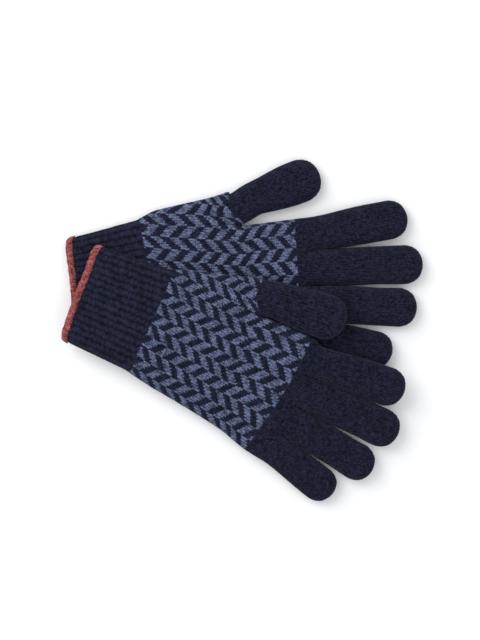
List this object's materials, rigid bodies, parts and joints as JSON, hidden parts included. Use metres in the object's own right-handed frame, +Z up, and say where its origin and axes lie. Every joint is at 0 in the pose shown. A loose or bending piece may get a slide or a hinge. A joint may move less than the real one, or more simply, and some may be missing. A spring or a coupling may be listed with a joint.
{
  "type": "knitted gloves",
  "caption": "Pair of knitted wool gloves lying flat, the left one across the right, with ribbed cuffs, a contrasting cuff edge and a herringbone hand.",
  "frame": {"origin": "on the surface that the pair lies on, at the middle of its outline box", "axes": "+X from the cuffs towards the fingertips, within a few degrees of the lower glove's length; +Y towards that glove's thumb; +Z up out of the surface"},
  "size_m": [0.2774, 0.2564, 0.0277],
  "materials": {
    "edge_wool": "matte",
    "rib_wool": "matte",
    "pattern_wool": "matte",
    "plain_wool": "matte"
  },
  "bodies": {
    "right_hand": {"right_hand": "pattern_wool", "right_knuckle_band": "plain_wool"},
    "right_cuff": {"right_cuff": "rib_wool", "right_cuff_edge": "edge_wool"},
    "right_index_base": {"right_index_base": "plain_wool"},
    "right_index_tip": {"right_index_tip": "plain_wool"},
    "right_middle_base": {"right_middle_base": "plain_wool"},
    "right_middle_tip": {"right_middle_tip": "plain_wool"},
    "right_ring_base": {"right_ring_base": "plain_wool"},
    "right_ring_tip": {"right_ring_tip": "plain_wool"},
    "right_pinky_base": {"right_pinky_base": "plain_wool"},
    "right_pinky_tip": {"right_pinky_tip": "plain_wool"},
    "right_thumb_base": {"right_thumb_base": "plain_wool"},
    "right_thumb_tip": {"right_thumb_tip": "plain_wool"},
    "left_hand": {"left_hand": "pattern_wool", "left_knuckle_band": "plain_wool"},
    "left_cuff": {"left_cuff": "rib_wool", "left_cuff_edge": "edge_wool"},
    "left_index_base": {"left_index_base": "plain_wool"},
    "left_index_tip": {"left_index_tip": "plain_wool"},
    "left_middle_base": {"left_middle_base": "plain_wool"},
    "left_middle_tip": {"left_middle_tip": "plain_wool"},
    "left_ring_base": {"left_ring_base": "plain_wool"},
    "left_ring_tip": {"left_ring_tip": "plain_wool"},
    "left_pinky_base": {"left_pinky_base": "plain_wool"},
    "left_pinky_tip": {"left_pinky_tip": "plain_wool"},
    "left_thumb_base": {"left_thumb_base": "plain_wool"},
    "left_thumb_tip": {"left_thumb_tip": "plain_wool"}
  },
  "joints": [
    {"name": "right_wrist_bend", "type": "hinge", "parent": "right_hand", "child": "right_cuff", "pos_m": [-0.06398, 0.03869, 0.005], "axis": [0.061, -0.9981, 0], "range_deg": [0, 60]},
    {"name": "right_index_knuckle_bend", "type": "hinge", "parent": "right_hand", "child": "right_index_base", "pos_m": [0.05816, 0.07291, 0.005], "axis": [-0.061, 0.9981, 0], "range_deg": [0, 75]},
    {"name": "right_index_middle_bend", "type": "hinge", "parent": "right_index_base", "child": "right_index_tip", "pos_m": [0.08887, 0.0786, 0.005], "axis": [-0.061, 0.9981, 0], "range_deg": [0, 85]},
    {"name": "right_middle_knuckle_bend", "type": "hinge", "parent": "right_hand", "child": "right_middle_base", "pos_m": [0.05976, 0.04676, 0.005], "axis": [-0.061, 0.9981, 0], "range_deg": [0, 75]},
    {"name": "right_middle_middle_bend", "type": "hinge", "parent": "right_middle_base", "child": "right_middle_tip", "pos_m": [0.09574, 0.04827, 0.005], "axis": [-0.061, 0.9981, 0], "range_deg": [0, 85]},
    {"name": "right_ring_knuckle_bend", "type": "hinge", "parent": "right_hand", "child": "right_ring_base", "pos_m": [0.06136, 0.02061, 0.005], "axis": [-0.061, 0.9981, 0], "range_deg": [0, 75]},
    {"name": "right_ring_middle_bend", "type": "hinge", "parent": "right_ring_base", "child": "right_ring_tip", "pos_m": [0.09453, 0.01875, 0.005], "axis": [-0.061, 0.9981, 0], "range_deg": [0, 85]},
    {"name": "right_pinky_knuckle_bend", "type": "hinge", "parent": "right_hand", "child": "right_pinky_base", "pos_m": [0.06296, -0.00554, 0.005], "axis": [-0.061, 0.9981, 0], "range_deg": [0, 75]},
    {"name": "right_pinky_middle_bend", "type": "hinge", "parent": "right_pinky_base", "child": "right_pinky_tip", "pos_m": [0.08835, -0.01117, 0.005], "axis": [-0.061, 0.9981, 0], "range_deg": [0, 85]},
    {"name": "right_thumb_foot_bend", "type": "hinge", "parent": "right_hand", "child": "right_thumb_base", "pos_m": [-0.00027, 0.09451, 0.005], "axis": [-0.061, 0.9981, 0], "range_deg": [0, 50]},
    {"name": "right_thumb_joint_bend", "type": "hinge", "parent": "right_thumb_base", "child": "right_thumb_tip", "pos_m": [0.0291, 0.10578, 0.005], "axis": [-0.061, 0.9981, 0], "range_deg": [0, 60]},
    {"name": "left_wrist_bend", "type": "hinge", "parent": "left_hand", "child": "left_cuff", "pos_m": [-0.06457, 0.00645, 0.01735], "axis": [0.4062, 0.9084, 0.0986], "range_deg": [0, 60]},
    {"name": "left_index_knuckle_bend", "type": "hinge", "parent": "left_hand", "child": "left_index_base", "pos_m": [0.05786, -0.02334, 0.01547], "axis": [-0.4062, -0.9084, -0.0986], "range_deg": [0, 75]},
    {"name": "left_index_middle_bend", "type": "hinge", "parent": "left_index_base", "child": "left_index_tip", "pos_m": [0.0872, -0.03363, 0.01469], "axis": [-0.4062, -0.9084, -0.0986], "range_deg": [0, 85]},
    {"name": "left_middle_knuckle_bend", "type": "hinge", "parent": "left_hand", "child": "left_middle_base", "pos_m": [0.04787, -0.04568, 0.01304], "axis": [-0.4062, -0.9084, -0.0986], "range_deg": [0, 75]},
    {"name": "left_middle_middle_bend", "type": "hinge", "parent": "left_middle_base", "child": "left_middle_tip", "pos_m": [0.08056, -0.06072, 0.0118], "axis": [-0.4062, -0.9084, -0.0986], "range_deg": [0, 85]},
    {"name": "left_ring_knuckle_bend", "type": "hinge", "parent": "left_hand", "child": "left_ring_base", "pos_m": [0.03788, -0.06803, 0.01062], "axis": [-0.4062, -0.9084, -0.0986], "range_deg": [0, 75]},
    {"name": "left_ring_middle_bend", "type": "hinge", "parent": "left_ring_base", "child": "left_ring_tip", "pos_m": [0.06624, -0.0854, 0.00909], "axis": [-0.4062, -0.9084, -0.0986], "range_deg": [0, 85]},
    {"name": "left_pinky_knuckle_bend", "type": "hinge", "parent": "left_hand", "child": "left_pinky_base", "pos_m": [0.02788, -0.09038, 0.00819], "axis": [-0.4062, -0.9084, -0.0986], "range_deg": [0, 75]},
    {"name": "left_pinky_middle_bend", "type": "hinge", "parent": "left_pinky_base", "child": "left_pinky_tip", "pos_m": [0.04836, -0.10579, 0.00679], "axis": [-0.4062, -0.9084, -0.0986], "range_deg": [0, 85]},
    {"name": "left_thumb_foot_bend", "type": "hinge", "parent": "left_hand", "child": "left_thumb_base", "pos_m": [0.01773, 0.02646, 0.02025], "axis": [-0.4062, -0.9084, -0.0986], "range_deg": [0, 50]},
    {"name": "left_thumb_joint_bend", "type": "hinge", "parent": "left_thumb_base", "child": "left_thumb_tip", "pos_m": [0.0464, 0.01713, 0.01957], "axis": [-0.4062, -0.9084, -0.0986], "range_deg": [0, 60]},
    {"name": "left_glove_lift", "type": "slide", "parent": "right_hand", "child": "left_hand", "axis": [0, 0, 1], "range_m": [0, 0.12]}
  ]
}
